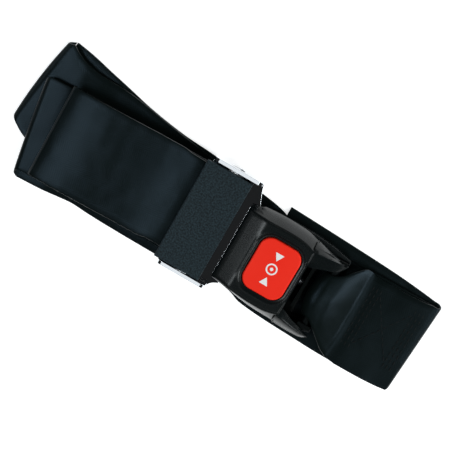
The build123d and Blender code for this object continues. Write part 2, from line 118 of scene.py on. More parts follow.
class Finish:
    """One procedural material on a Principled shader."""

    def __init__(self, name, **fixed):
        self.material = bpy.data.materials.new(name)
        self.material.use_nodes = True
        self.tree = self.material.node_tree
        self.shader = self.tree.nodes["Principled BSDF"]
        for socket, value in fixed.items():
            self.shader.inputs[socket.replace("_", " ")].default_value = value

    def node(self, kind, settings=None, inputs=None, output=0):
        made = self.tree.nodes.new(kind)
        for key, value in (settings or {}).items():
            if key == "stops":
                self._set_stops(made.color_ramp, value)
            else:
                setattr(made, key, value)
        for key, value in (inputs or {}).items():
            self._feed(made.inputs[key], value)
        return Flow(self, made.outputs[output])

    @staticmethod
    def _set_stops(ramp, stops):
        while len(ramp.elements) > len(stops):
            ramp.elements.remove(ramp.elements[-1])
        while len(ramp.elements) < len(stops):
            ramp.elements.new(1.0)
        for element, (place, shade) in zip(ramp.elements, stops):
            element.position = place
            element.color = (shade, shade, shade, 1)

    def _feed(self, socket, value):
        if isinstance(value, Flow):
            self.tree.links.new(value.socket, socket)
        else:
            socket.default_value = value

    def object_place(self):
        return self.node("ShaderNodeTexCoord", output="Object")

    def noise(self, place, scale, detail):
        return self.node("ShaderNodeTexNoise", None, {"Vector": place, "Scale": scale, "Detail": detail})

    def ramp(self, value, stops):
        return self.node("ShaderNodeValToRGB", {"stops": stops}, {"Fac": value})

    def mix(self, factor, first, second):
        return self.node("ShaderNodeMix", {"data_type": "RGBA"}, {"Factor": factor, 6: first, 7: second},
                         output=2)

    def bump(self, height, strength, distance):
        depths = {"Strength": strength, "Distance": distance, "Height": height}
        self.set("Normal", self.node("ShaderNodeBump", None, depths))

    def set(self, socket, value):
        self._feed(self.shader.inputs[socket], value)


def rgb(red, green, blue):
    return (red, green, blue, 1.0)


def webbing_finish():
    """Woven polyester: lengthwise panels of opposed twill, with a plain selvedge at both edges."""
    panel, twill_pitch, rib_pitch, selvedge_from = 7.0, 1.25, 0.5, 22.8
    twill_turn, rib_turn = 2 * math.pi / twill_pitch, 2 * math.pi / rib_pitch
    finish = Finish("webbing_black", Specular_IOR_Level=0.095)
    finish.shader.inputs["Specular Tint"].default_value = rgb(0.55, 0.78, 1.0)
    uv = finish.node("ShaderNodeUVMap", {"uv_map": "weave"})
    parts = finish.node("ShaderNodeSeparateXYZ", None, {"Vector": uv})
    across = Flow(finish, parts.socket.node.outputs["X"]) / MM
    along = Flow(finish, parts.socket.node.outputs["Y"]) / MM
    side = (((across / panel).floor() % 2.0) * 2.0) - 1.0
    twill = ((along + across * side * 0.9) * twill_turn).sine() * 0.5 + 0.5
    ribs = (across * rib_turn).sine() * 0.5 + 0.5
    edge = across.size() > selvedge_from
    weave = twill * 0.6 * (1 - edge) + ribs * 0.4
    place = finish.object_place()
    cloudy = finish.noise(place, 38.0, 3.0)
    fuzz = finish.noise(place, 900.0, 2.0)
    tone = cloudy * 0.55 + fuzz * 0.25 + weave * 0.2
    finish.set("Base Color", finish.mix(tone, rgb(0.0012, 0.0024, 0.0020), rgb(0.0060, 0.0092, 0.0088)))
    finish.set("Roughness", 0.24 + cloudy * 0.05 + weave * 0.06)
    finish.bump(weave + fuzz * 0.35, 0.30, 0.00010)
    return finish.material


def thread_finish():
    finish = Finish("thread_black", Roughness=0.6, Specular_IOR_Level=0.10)
    twist = finish.noise(finish.object_place(), 2600.0, 1.0)
    finish.set("Base Color", finish.mix(twist, rgb(0.0030, 0.0042, 0.0040), rgb(0.011, 0.014, 0.014)))
    finish.bump(twist, 0.4, 0.0001)
    return finish.material


def moulded_finish(name, dark, light, rough, grain_scale, grain_depth, speckle, gloss):
    """Moulded plastic with a fine grain and slightly uneven gloss."""
    finish = Finish(name, Specular_IOR_Level=gloss)
    place = finish.object_place()
    grain = finish.noise(place, grain_scale, 2.0)
    patch = finish.noise(place, 60.0, 3.0)
    spots = finish.ramp(grain, [(0.5 - speckle, 0.0), (0.5 + speckle, 1.0)])
    finish.set("Base Color", finish.mix(spots * 0.8 + patch * 0.2, dark, light))
    finish.set("Roughness", rough + patch * 0.08 - spots * 0.03)
    finish.bump(grain, 0.5, grain_depth)
    return finish.material


def metal_finish(name, colour, rough, smeared, brushed):
    """Bare or plated metal, with smears and fine brushing in its gloss."""
    finish = Finish(name, Metallic=1.0)
    place = finish.object_place()
    smear = finish.noise(place, 90.0, 3.0)
    fine = finish.noise(place, 2200.0, 2.0)
    duller = rgb(*(0.82 * part for part in colour[:3]))
    finish.set("Base Color", finish.mix(smear * 0.5, colour, duller))
    finish.set("Roughness", rough + smear * smeared + fine * brushed)
    finish.bump(fine, 0.12, 0.00003)
    return finish.material


def button_finish():
    finish = Finish("button_red", Specular_IOR_Level=0.10)
    place = finish.object_place()
    patch = finish.noise(place, 70.0, 2.0)
    grain = finish.noise(place, 1800.0, 2.0)
    finish.set("Base Color", finish.mix(patch, rgb(0.96, 0.024, 0.010), rgb(1.0, 0.034, 0.015)))
    finish.set("Roughness", 0.36 + patch * 0.10 + grain * 0.06)
    finish.bump(grain, 0.15, 0.00004)
    return finish.material


def print_finish():
    finish = Finish("print_white", Roughness=0.5)
    wear = finish.noise(finish.object_place(), 1500.0, 2.0)
    finish.set("Base Color", finish.mix(wear, rgb(0.86, 0.84, 0.82), rgb(0.96, 0.94, 0.93)))
    finish.bump(wear, 0.1, 0.00003)
    return finish.material


FINISHES = {
    "webbing": webbing_finish(),
    "thread": thread_finish(),
    "housing": moulded_finish("housing_black", rgb(0.0030, 0.0042, 0.0042), rgb(0.0055, 0.0080, 0.0085),
                              0.24, 1500.0, 0.00002, 0.22, 0.20),
    "cover": moulded_finish("cover_textured", rgb(0.0035, 0.0065, 0.0080), rgb(0.020, 0.036, 0.045),
                            0.55, 1150.0, 0.00030, 0.16, 0.14),
    "button": button_finish(),
    "icon": print_finish(),
    "chrome": metal_finish("chrome_bright", rgb(0.86, 0.89, 0.92), 0.025, 0.02, 0.0),
    "steel": metal_finish("steel_zinc", rgb(0.55, 0.56, 0.58), 0.30, 0.06, 0.12),
    "spring_steel": metal_finish("steel_spring", rgb(0.34, 0.35, 0.38), 0.26, 0.06, 0.10),
    "ejector": moulded_finish("ejector_black", rgb(0.004, 0.004, 0.005), rgb(0.009, 0.010, 0.011),
                              0.42, 900.0, 0.00003, 0.30, 0.2),
    "dark_steel": metal_finish("steel_black", rgb(0.005, 0.006, 0.006), 0.45, 0.06, 0.10),
}


def dress(piece, name):
    piece.data.materials.clear()
    piece.data.materials.append(FINISHES[name])


# ---------------------------------------------------------------- mesh helpers
def new_piece(name, mesh_or_bmesh):
    if isinstance(mesh_or_bmesh, bmesh.types.BMesh):
        mesh = bpy.data.meshes.new(name)
        mesh_or_bmesh.to_mesh(mesh)
        mesh_or_bmesh.free()
    else:
        mesh = mesh_or_bmesh
    piece = bpy.data.objects.new(name, mesh)
    bpy.context.scene.collection.objects.link(piece)
    return piece


def settle(piece):
    """Turn a piece with modifiers into a plain mesh."""
    view = bpy.context.evaluated_depsgraph_get()
    mesh = bpy.data.meshes.new_from_object(piece.evaluated_get(view))
    piece.modifiers.clear()
    old = piece.data
    piece.data = mesh
    bpy.data.meshes.remove(old)


def smooth_by_angle(mesh, angle):
    for face in mesh.polygons:
        face.use_smooth = True
    mesh.set_sharp_from_angle(angle=angle)


def round_edges(piece, edge, segments, from_angle):
    bevel = piece.modifiers.new("edges", "BEVEL")
    bevel.width = edge * MM
    bevel.segments = segments
    bevel.limit_method = "ANGLE"
    bevel.angle_limit = math.radians(from_angle)


def rounded_copy(node, name, slot, body, edge, segments=2, finish=None, raised=None):
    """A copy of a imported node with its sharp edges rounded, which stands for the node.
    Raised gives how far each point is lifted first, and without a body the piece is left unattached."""
    shape = bmesh.new()
    shape.from_mesh(nodes[node].data)
    for vertex in shape.verts if raised else ():
        vertex.co.z += raised(vertex.co / MM) * MM
    bmesh.ops.remove_doubles(shape, verts=shape.verts, dist=1e-6)
    bmesh.ops.dissolve_limit(shape, angle_limit=math.radians(1.0), verts=shape.verts, edges=shape.edges)
    piece = new_piece(name, shape)
    round_edges(piece, edge, segments, 35)
    smooth_by_angle(piece.data, math.radians(32))
    even = piece.modifiers.new("even", "WEIGHTED_NORMAL")
    even.keep_sharp = True
    even.weight = 100
    settle(piece)
    dress(piece, finish or slot)
    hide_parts(node)
    if body:
        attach(piece, body)
    return piece


def grid_faces(shape, rows, closed=False):
    """Quads between closed rows of vertices, and between the last row and the first if closed."""
    count = len(rows[0])
    pairs = list(zip(rows, rows[1:])) + ([(rows[-1], rows[0])] if closed else [])
    for first, second in pairs:
        for i in range(count):
            j = (i + 1) % count
            shape.faces.new((first[i], first[j], second[j], second[i]))


def steady_curve(knots):
    """A smooth curve through (x, value...) knots that never overshoots between them."""
    knots = sorted(knots)
    xs = [k[0] for k in knots]
    width = len(knots[0]) - 1

    def slopes(column):
        values = [k[column + 1] for k in knots]
        steps = [(b - a) / (d - c) for a, b, c, d in zip(values, values[1:], xs, xs[1:])]
        inner = [2 * p * q / (p + q) if p * q > 0 else 0.0 for p, q in zip(steps, steps[1:])]
        return [steps[0]] + inner + [steps[-1]]

    tangents = [slopes(column) for column in range(width)]

    def at(x):
        x = min(max(x, xs[0]), xs[-1])
        k = max(i for i in range(len(xs) - 1) if xs[i] <= x)
        span = xs[k + 1] - xs[k]
        t = (x - xs[k]) / span
        result = []
        for column in range(width):
            a, b = knots[k][column + 1], knots[k + 1][column + 1]
            m, n = tangents[column][k] * span, tangents[column][k + 1] * span
            result.append((2 * t**3 - 3 * t**2 + 1) * a + (t**3 - 2 * t**2 + t) * m
                          + (3 * t**2 - 2 * t**3) * b + (t**3 - t**2) * n)
        return result

    return at


# ---------------------------------------------------------------- webbing
WEB_WIDTH = 50.8
WEB_THICK = 1.2
PITCH = 1.5                    # from one lying layer to the next
STEP = 1.6                     # between the cross-sections of a run


def level(layer):
    return WEB_THICK / 2 + layer * PITCH


class Station:
    """One cross-section: its centre, the direction across, its width, and its middle's push outwards."""

    def __init__(self, centre, across, width=WEB_WIDTH, push=Vector((0, 0, 0))):
        self.centre = centre
        self.across = across
        self.width = width
        self.push = push


class Turn:
    """A U-turn about a leaning crest line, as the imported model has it."""

    def __init__(self, apex_x, y, lean, low_z, high_z, facing):
        lean = math.radians(lean)
        self.low, self.high = low_z, high_z
        self.reach = (high_z - low_z) / 2
        self.outward = Vector((facing * math.cos(lean), math.sin(lean), 0))
        self.crest = Vector((-math.sin(lean) * facing, math.cos(lean), 0))
        self.start = Vector((apex_x, y, 0)) - self.outward * (self.reach + WEB_THICK / 2)

    def stations(self, upwards=True, swell=0.0, bow=0.0, pinch=0.0, shift=(0.0, 0.0)):
        """Cross-sections round the turn. Swell pushes the crest out into a looser loop, bow its middle more
        than its ends, pinch narrows it, and shift slides its lower and upper ends along the crest."""
        made, count = [], 16
        for k in range(1, count):
            angle = math.pi * k / count
            round_off = math.sin(angle)
            z = self.low + self.reach * (1 - math.cos(angle))
            slide = shift[0] + (shift[1] - shift[0]) * (1 - math.cos(angle)) / 2
            out = self.outward * round_off * (self.reach + swell)
            centre = self.start + out + self.crest * slide + UP * z
            width, push = WEB_WIDTH - pinch * round_off, self.outward * bow * round_off
            made.append(Station(centre, self.crest, width, push))
        return made if upwards else made[::-1]


def run(knots, first_lean=0.0, last_lean=0.0):
    """Cross-sections of a lying stretch. Each knot is x, y, z, and may add width, crown and forward bow."""
    knots = [tuple(k) + (WEB_WIDTH, 0.0, 0.0)[len(k) - 3:] for k in knots]
    at = steady_curve(knots)
    first, last = knots[0][0], knots[-1][0]
    count = max(2, round(abs(last - first) / STEP))
    made = []
    for k in range(count + 1):
        x = first + (last - first) * k / count
        y, z, wide, crown, bow = at(x)
        blend = k / count
        blend = blend * blend * (3 - 2 * blend)
        lean = math.radians(first_lean + (last_lean - first_lean) * blend)
        made.append(Station(Vector((x, y, z)), Vector((math.sin(lean), math.cos(lean), 0)), wide,
                            Vector((-bow, 0, crown))))
    return made


def cross_section():
    """The webbing's outline as (share of half width, share of thickness), with rounded selvedges."""
    columns = 26
    flat, shoulder = 1 - 0.9 / WEB_WIDTH * 2, 1 - 0.16 / WEB_WIDTH * 2
    top = [(-flat + 2 * flat * k / columns, 0.5) for k in range(columns + 1)]
    edge = [(shoulder, 0.36), (1.0, 0.0), (shoulder, -0.36)]
    under = [(u, -0.5) for u, _ in reversed(top)]
    return top + edge + under + [(-u, h) for u, h in reversed(edge)]


def webbing_piece(name, stations, ripple_seed):
    """A strip of webbing through its cross-sections, with a UV map in metres across and along."""
    outline = cross_section()
    shape = bmesh.new()
    weave = shape.loops.layers.uv.new("weave")
    centres = [s.centre for s in stations]
    place = [0.0]
    for a, b in zip(centres, centres[1:]):
        place.append(place[-1] + (b - a).length)
    rows = []
    for k, station in enumerate(stations):
        ahead = centres[min(k + 1, len(centres) - 1)] - centres[max(k - 1, 0)]
        ahead = ahead.normalized()
        normal = station.across.cross(ahead).normalized()
        row = []
        for u, h in outline:
            ripple = noise.noise(Vector((place[k] * 0.035, u * 1.4, ripple_seed))) * 0.35
            ripple += noise.noise(Vector((place[k] * 0.16, u * 3.0, ripple_seed + 9.0))) * 0.10
            spot = station.centre + station.across * (u * station.width / 2) + normal * (h * WEB_THICK)
            spot += station.push * (1 - u * u) + UP * (ripple * min(1.0, abs(normal.z) * 1.2))
            row.append(shape.verts.new(spot * MM))
        rows.append(row)
    count = len(outline)
    for k in range(len(rows) - 1):
        for i in range(count):
            j = (i + 1) % count
            face = shape.faces.new((rows[k][i], rows[k][j], rows[k + 1][j], rows[k + 1][i]))
            corners = ((outline[i][0], place[k]), (outline[j][0], place[k]),
                       (outline[j][0], place[k + 1]), (outline[i][0], place[k + 1]))
            for loop, (u, s) in zip(face.loops, corners):
                loop[weave].uv = (u * WEB_WIDTH / 2 * MM, s * MM)
    shape.faces.new(rows[0])
    shape.faces.new(rows[-1][::-1])
    bmesh.ops.recalc_face_normals(shape, faces=shape.faces)
    piece = new_piece(name, shape)
    smooth_by_angle(piece.data, math.radians(50))
    dress(piece, "webbing")
    return piece, place[-1] * MM


# the bundle's folds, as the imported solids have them
outer_loop = Turn(-148.5, 22.4, 9.5, level(0), 5.4, -1)
middle_fold = Turn(-141.5, -0.6, -8.0, 6.9, 10.7, -1)
top_fold = Turn(-130.5, 4.0, 0.0, 12.2, 17.0, -1)
lower_hidden = Turn(-26.6, 2.5, 0.0, level(1), level(2), 1)
upper_hidden = Turn(-26.6, 2.5, 0.0, level(3), level(4), 1)
BAR = middle("slide_bar")
ANCHOR = middle("anchor_bar")
BAR_REACH = 3.4                # bar radius, gap and half the webbing


def half_turn(centre, side, width, bulge=0.0, crown=0.0):
    """Webbing that goes over a bar lying along Y and down round its side, between the two runs' ends."""
    made, count = [], 14
    for k in range(1, count):
        angle = math.pi * k / count
        out = side * math.sin(angle) * BAR_REACH
        z = centre.z + BAR_REACH * math.cos(angle)
        push = Vector((side * bulge * math.sin(angle), 0, crown * math.cos(angle / 2)))
        made.append(Station(Vector((centre.x + out, centre.y, z)), Vector((0, 1, 0)), width, push))
    return made


def make_sewn_end():
    """From the cut flap round the sewn end and the anchor bar, and back as the lower run."""
    outer = Turn(85.5, -2.4, -2.0, level(0), level(3), 1)
    inner = Turn(outer.start.x + 1.35, -3.3, 0.0, level(1), level(2), 1)
    turn_x, turn_y = outer.start.x, outer.start.y
    top_z, under_z = ANCHOR.z + BAR_REACH, ANCHOR.z - BAR_REACH
    flap = run([(-5.7, 3.8, level(0)), (28, 2.5, level(0)), (58, 1.0, level(0)), (76, -0.6, level(0)),
                (turn_x, turn_y + 0.9, level(0))], 0, -2.0)
    top_leg = run([(turn_x, turn_y - 0.9, level(3)), (76, -4.0, level(3) + 0.05), (64, -4.5, level(3) + 0.1),
                   (54, -4.6, level(3) + 0.05), (50.5, -4.4, level(3) - 0.25, 50.6, 0.1),
                   (47.5, -3.8, level(3) - 0.2, 50.6, 0.4), (44.5, -2.6, 6.3, 49.6, 1.0),
                   (39.3, -2.2, 9.2, 41.7, 1.8), (34, -2.4, 11.7, 31.7, 2.2),
                   (ANCHOR.x, -1.7, top_z, 25.5, 2.2)], -2.0, 0)
    wrap = half_turn(Vector((ANCHOR.x, -1.7, ANCHOR.z)), -1, 25.5, bulge=3.2, crown=2.2)
    lower_leg = run([(ANCHOR.x, -1.7, under_z, 25.5), (34, -2.4, 5.5, 31), (40, -2.6, 4.3, 42),
                     (47, -3.2, level(2), 50), (60, -3.4, level(2)),
                     (inner.start.x, inner.start.y, level(2))])
    lower_run = run([(inner.start.x, inner.start.y, level(1)), (60, -4.8, level(1)), (46, -4.9, level(1)),
                     (28, -4.3, level(1)), (10, -3.5, level(1)), (-3, -2.2, level(1)), (-10, 0.2, 1.7),
                     (-18, 1.6, level(0)), (-30, 3.2, level(0)), (-45, 6.2, level(0)), (-58, 7.4, level(0)),
                     (-73, 8.4, level(0)), (-85.5, 10.0, level(0)), (-98, 12.2, level(0)),
                     (-110.5, 15.1, level(0)), (-123.5, 18.0, level(0)), (-136, 20.9, level(0)),
                     (outer_loop.start.x, outer_loop.start.y + 0.6, level(0))], 0, 9.5)
    stations = flap + outer.stations(shift=(0.9, -0.9)) + top_leg + wrap + lower_leg
    stations += inner.stations(upwards=False) + lower_run
    piece, length = webbing_piece("strap_sewn_end", stations, 1.0)
    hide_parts("end_flap", "end_turn_outer", "end_turn_inner", "sewn_top_leg", "sewn_lower_leg",
                "anchor_wrap", "lower_run")
    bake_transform(piece)
    return top_leg


def make_folds():
    """The loose folds at the far end, which travel with the tongue."""
    lower = run([(outer_loop.start.x, outer_loop.start.y - 0.6, outer_loop.high), (-141, 18.4, 5.6),
                 (-135, 16.0, 5.6), (-126, 14.4, 4.9), (-112, 13.8, 3.2), (-80, 9.0, level(1)),
                 (-50, 5.0, level(1)), (lower_hidden.start.x, 2.5, level(1))], 9.5, 0)
    to_middle = run([(lower_hidden.start.x, 2.5, level(2)), (-40, 0.5, level(2)), (-54, -2.0, level(2)),
                     (-84, -1.8, 3.7), (-98, -1.3, 4.2), (-108, -0.6, 5.0), (-114, -1.0, 5.6),
                     (-126, -2.0, 6.8), (middle_fold.start.x, middle_fold.start.y - 2.4, middle_fold.low)],
                    0, -8.0)
    to_upper = run([(middle_fold.start.x, middle_fold.start.y + 2.1, middle_fold.high), (-131, 2.2, 10.9),
                    (-122, 2.4, 10.0), (-95, 2.5, 5.3), (-60, 2.5, level(3)),
                    (upper_hidden.start.x, 2.5, level(3))], -8.0, 0)
    to_top = run([(upper_hidden.start.x, 2.5, level(4)), (-60, 2.8, level(4)), (-88, 3.1, 6.8),
                  (-104, 3.5, 9.1)])
    stations = outer_loop.stations(swell=0.6, bow=1.2, pinch=3.6, shift=(0.6, -0.6)) + lower
    stations += lower_hidden.stations() + to_middle
    stations += middle_fold.stations(swell=0.4, bow=0.4, shift=(-2.4, 2.1)) + to_upper
    stations += upper_hidden.stations() + to_top
    piece, length = webbing_piece("strap_folds", stations, 2.0)
    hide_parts("outer_loop", "middle_fold", "hidden_fold_lower", "hidden_fold_upper",
                "run_to_lower_fold", "run_to_middle_fold", "run_to_upper_fold", "run_to_top_fold", "top_fold")
    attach(piece, "tongue")


def make_top_run():
    """The uppermost run, round the slide bar and back as the short free tail."""
    wrap_top, wrap_under = BAR.z + BAR_REACH, BAR.z - BAR_REACH
    to_fold = run([(-104, 3.5, 9.1), (-112, 3.8, 10.8), (-120, 4.0, 12.0),
                   (top_fold.start.x, 4.0, top_fold.low)])
    over = run([(-128.8, 4.0, 15.9), (-127, 4.05, 16.45), (-124.5, 4.1, 17.0), (-122, 4.2, 17.4),
                (-119, 4.25, 17.75), (-116, 4.3, 18.0), (-112, 4.4, 18.2), (-107, 4.5, 18.25),
                (-100, 4.7, 18.1), (-92, 4.9, 17.9), (-86, 5.1, 17.85), (-80, 5.3, 17.9), (-74, 5.4, 18.05),
                (-68, 5.6, 18.45), (-62, 5.8, 19.1, 49.2), (-57, 5.9, 19.4, 48.8), (-52, 5.6, 19.4, 48.9),
                (BAR.x, BAR.y, wrap_top)])
    wrap = half_turn(BAR, 1, WEB_WIDTH)
    tail = run([(BAR.x, BAR.y, wrap_under), (BAR.x - 3, BAR.y, wrap_under - 0.5), (-49.5, BAR.y, 9.3),
                (-56, BAR.y, 8.3), (-66, BAR.y, level(5)), (-84, BAR.y, level(5))])
    loose_fold = top_fold.stations()[:-3]
    piece, length = webbing_piece("strap_top_run", to_fold + loose_fold + over + wrap + tail, 3.0)
    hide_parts("top_run", "bar_wrap", "free_tail")
    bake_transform(piece)


# ---------------------------------------------------------------- buckle housing
def rounded_box_radius(angle, half_x, half_y, corner):
    """Distance from the centre to a rounded rectangle's outline in a direction."""
    dx, dy = abs(math.cos(angle)), abs(math.sin(angle))
    flat = min(half_x / max(dx, 1e-9), half_y / max(dy, 1e-9))
    x, y = flat * dx, flat * dy
    if x <= half_x - corner or y <= half_y - corner:
        return flat
    cx, cy = half_x - corner, half_y - corner
    along = cx * dx + cy * dy
    return along + math.sqrt(max(along * along - (cx * cx + cy * cy - corner * corner), 0.0))


def outline_radius(angle, centre_x, corners):
    """Distance from the button's centre to a closed polygon's outline in a direction."""
    ray = Vector((math.cos(angle), math.sin(angle)))
    best = 1e9
    for (ax, ay), (bx, by) in zip(corners, corners[1:] + corners[:1]):
        a, edge = Vector((ax - centre_x, ay)), Vector((bx - ax, by - ay))
        cross = ray.x * edge.y - ray.y * edge.x
        if abs(cross) < 1e-9:
            continue
        reach = (a.x * edge.y - a.y * edge.x) / cross
        share = (a.x * ray.y - a.y * ray.x) / cross
        if reach > 0 and -1e-6 <= share <= 1 + 1e-6:
            best = min(best, reach)
    return best


def bulged(upper_half, lower_half):
    """A smooth closed outline through the points of its +Y half and its -Y half."""
    upper, lower, samples = steady_curve(upper_half), steady_curve(lower_half), 30
    first, last = upper_half[0][0], upper_half[-1][0]
    xs = [first + (last - first) * k / samples for k in range(samples + 1)]
    return [(x, upper(x)[0]) for x in xs] + [(x, -lower(x)[0]) for x in reversed(xs)]


HOUSING_LOW, HOUSING_HIGH = low("housing_top"), high("housing_top")
NOSE_X = HOUSING_LOW.x
LIP_X = 15.2
ARM_TIP_X = HOUSING_HIGH.x
SPLIT_Z = HOUSING_LOW.z
FACE_Z = HOUSING_HIGH.z - 0.4
BUTTON = middle("button_icon")
BUTTON_HALF = (22.7 / 2, 28.6 / 2)
BUTTON_CORNER = 6.2
GAP = 0.35                     # between button and housing
NOSE_BEND_X = -13.2
SHOULDER_DROP = 0.80           # from the face to the upper end of the side walls
TOP_EDGE = [(NOSE_X, 20.6), (-11.0, 20.5), (0.0, 20.7), (6.0, 20.4), (11.0, 19.4), (LIP_X, 17.8)]
TOP_EDGE_LOW = [(NOSE_X, 19.4), (-11.0, 20.4), (0.0, 21.2), (6.0, 21.2), (11.0, 20.4), (LIP_X, 19.2)]
BASE_EDGE = [(NOSE_X, 22.6), (-16.0, 24.2), (-5.0, 24.8), (3.0, 24.6), (9.0, 24.1), (LIP_X, 22.9)]
BASE_EDGE_LOW = [(NOSE_X, 20.2), (-16.0, 21.6), (-5.0, 23.9), (3.0, 24.8), (9.0, 25.0), (LIP_X, 25.2)]


def face_height(x, y):
    """The housing's upper face: flat round the button, falling to the nose, with a slight crown."""
    fall = max(0.0, NOSE_BEND_X - x)
    slope, crown = 3.6 / 9.9, 0.25
    return FACE_Z - slope * (math.sqrt(fall * fall + 0.3) - 0.55) - crown * (y / 20) ** 2


def make_housing_top():
    """The upper shell, in rings from the button's opening over the face and down the side walls."""
    top_outline, base_outline = bulged(TOP_EDGE, TOP_EDGE_LOW), bulged(BASE_EDGE, BASE_EDGE_LOW)
    turns = 168
    angles = {2 * math.pi * k / turns for k in range(turns)}
    for half, hand in ((TOP_EDGE, 1), (TOP_EDGE_LOW, -1)):
        for x, y in (half[0], half[-1]):
            exact = math.atan2(hand * y, x - BUTTON.x) % (2 * math.pi)
            angles = {a for a in angles if abs(a - exact) > 0.012} | {exact}
    angles = sorted(angles)
    shape = bmesh.new()
    rings = []

    def ring(radius_at, height_at):
        row = []
        for angle in angles:
            radius = radius_at(angle)
            x, y = BUTTON.x + radius * math.cos(angle), radius * math.sin(angle)
            row.append(shape.verts.new(Vector((x, y, height_at(x, y, angle))) * MM))
        rings.append(row)

    def hole(grow):
        half_x, half_y = BUTTON_HALF
        return lambda a: rounded_box_radius(a, half_x + grow, half_y + grow, BUTTON_CORNER + grow)

    def top(inset):
        return lambda a: outline_radius(a, BUTTON.x, top_outline) - inset

    def base(inset):
        return lambda a: outline_radius(a, BUTTON.x, base_outline) - inset

    def on_face(rise, rim=0.0):
        """Rise above the face all round, and rim more towards the nose, fading to nothing at the lip."""
        return lambda x, y, a: face_height(x, y) + rise + rim * (0.5 - 0.5 * math.cos(a))

    dish, rim_outside = 0.75, 3.2
    thickness, ceiling = 1.5, 18.5
    open_z, open_inside_z, closed_z = 13.9, 14.1, SPLIT_Z + 0.05     # the walls' feet at the ends and sides
    ring(hole(GAP), lambda x, y, a: FACE_Z - 2.6)
    for grow, rise, rim in ((GAP, -dish - 0.25, 0), (GAP + 0.15, -dish, 0), (1.15, -dish, 0),
                            (2.15, -0.08, 0.1), (2.4, 0, 0.16), (2.7, 0, 0.12), (rim_outside, 0, 0)):
        ring(hole(grow), on_face(rise, rim))

    def between(share, inset):
        """A share of the way from the rim round the button to the face's edge."""
        def radius(a):
            inner = hole(rim_outside)(a)
            return inner + (max(top(inset)(a), inner + 0.05) - inner) * share
        return radius

    for share, inset, rise in ((0.08, 1.3, 0), (0.17, 1.3, 0), (0.3, 1.3, 0), (0.5, 1.3, 0),
                               (0.75, 1.3, 0), (1.0, 1.25, 0), (1.0, 1.15, -0.03), (1.0, 0.12, -0.62),
                               (1.0, 0.0, -SHOULDER_DROP)):
        ring(between(share, inset), on_face(rise))

    def wall(share):
        bulge = math.sin(share * math.pi / 2) * 0.55 + share * 0.45
        return lambda a: top(0)(a) + (base(0)(a) - top(0)(a)) * bulge

    def wall_height(share):
        def height(x, y, a):
            start = face_height(x, y) - SHOULDER_DROP
            floor = open_z if x > LIP_X - 0.5 or x < NOSE_X + 6 else closed_z
            return start + (floor - start) * share
        return height

    for share in (0.2, 0.4, 0.6, 0.8, 1.0):
        ring(wall(share), wall_height(share))
    ring(base(thickness), lambda x, y, a: open_inside_z if x > LIP_X - 2.2 or x < NOSE_X + 7 else closed_z)
    ring(lambda a: min(top(thickness)(a), base(thickness)(a)), lambda x, y, a: 16.6)
    ring(hole(1.6), lambda x, y, a: ceiling)
    ring(hole(GAP), lambda x, y, a: ceiling)
    grid_faces(shape, rings, closed=True)
    bmesh.ops.remove_doubles(shape, verts=shape.verts, dist=2e-6)
    bmesh.ops.recalc_face_normals(shape, faces=shape.faces)
    shell = new_piece("housing_shell", shape)
    smooth_by_angle(shell.data, math.radians(48))
    dress(shell, "housing")
    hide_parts("housing_top")
    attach(shell, "buckle")


ARM_ROOT_X = LIP_X - 4
ARMS = {
    "housing_arm_left": {
        "hand": 1,
        "outer": [(ARM_ROOT_X, 23.7), (LIP_X, 22.9), (19.3, 21.9), (25.0, 20.6),
                  (30.0, 19.7), (ARM_TIP_X, 18.9)],
        "ridge": [(ARM_ROOT_X, 17.8), (LIP_X, 17.8), (22.0, 18.4), (30.5, 18.6), (ARM_TIP_X, 18.4)],
        "inner": [(ARM_ROOT_X, 9.6), (LIP_X, 9.6), (23.0, 11.6), (29.0, 13.3),
                  (32.0, 15.2), (ARM_TIP_X, 17.9)]},
    "housing_arm_right": {
        "hand": -1,
        "outer": [(ARM_ROOT_X, 25.0), (LIP_X, 25.2), (25.0, 25.7), (29.0, 25.7),
                  (32.0, 25.1), (ARM_TIP_X, 24.1)],
        "ridge": [(ARM_ROOT_X, 19.0), (LIP_X, 19.2), (22.0, 20.9), (30.0, 22.7), (ARM_TIP_X, 23.6)],
        "inner": [(ARM_ROOT_X, 14.6), (LIP_X, 15.2), (21.8, 18.2), (27.8, 20.4),
                  (31.0, 21.9), (ARM_TIP_X, 23.2)]}}
ARM_RIDGE_Z = [(ARM_ROOT_X, FACE_Z - 0.6), (LIP_X, FACE_Z - 0.65), (24.0, 17.9), (30.0, 14.8),
               (ARM_TIP_X, 11.4)]
ARM_FACET_Z = [(ARM_ROOT_X, 18.3), (LIP_X, 18.2), (24.0, 16.0), (30.0, 13.6), (ARM_TIP_X, 11.0)]
FRAME_EAR_Y, FRAME_END_X = 20.4, 33.2


def arm_section(outer, ridge, inner, inner_floor, top, facet):
    """The arm's closed outline across the strap as (y, z), from the outer wall's foot over the ridge."""
    floor = SPLIT_Z + 0.05
    return [(outer, floor), (outer - 0.25, floor + (top - floor) * 0.35),
            (outer + (ridge - outer) * 0.62, floor + (top - floor) * 0.80), (ridge + 0.35, top - 0.12),
            (ridge, top), (ridge - 0.4, top - 0.2), ((ridge + inner) / 2 - 0.1, (top + facet) / 2),
            (inner, facet), (inner - 0.05, facet - 0.5), (inner_floor, facet - 0.9), (inner_floor, floor)]


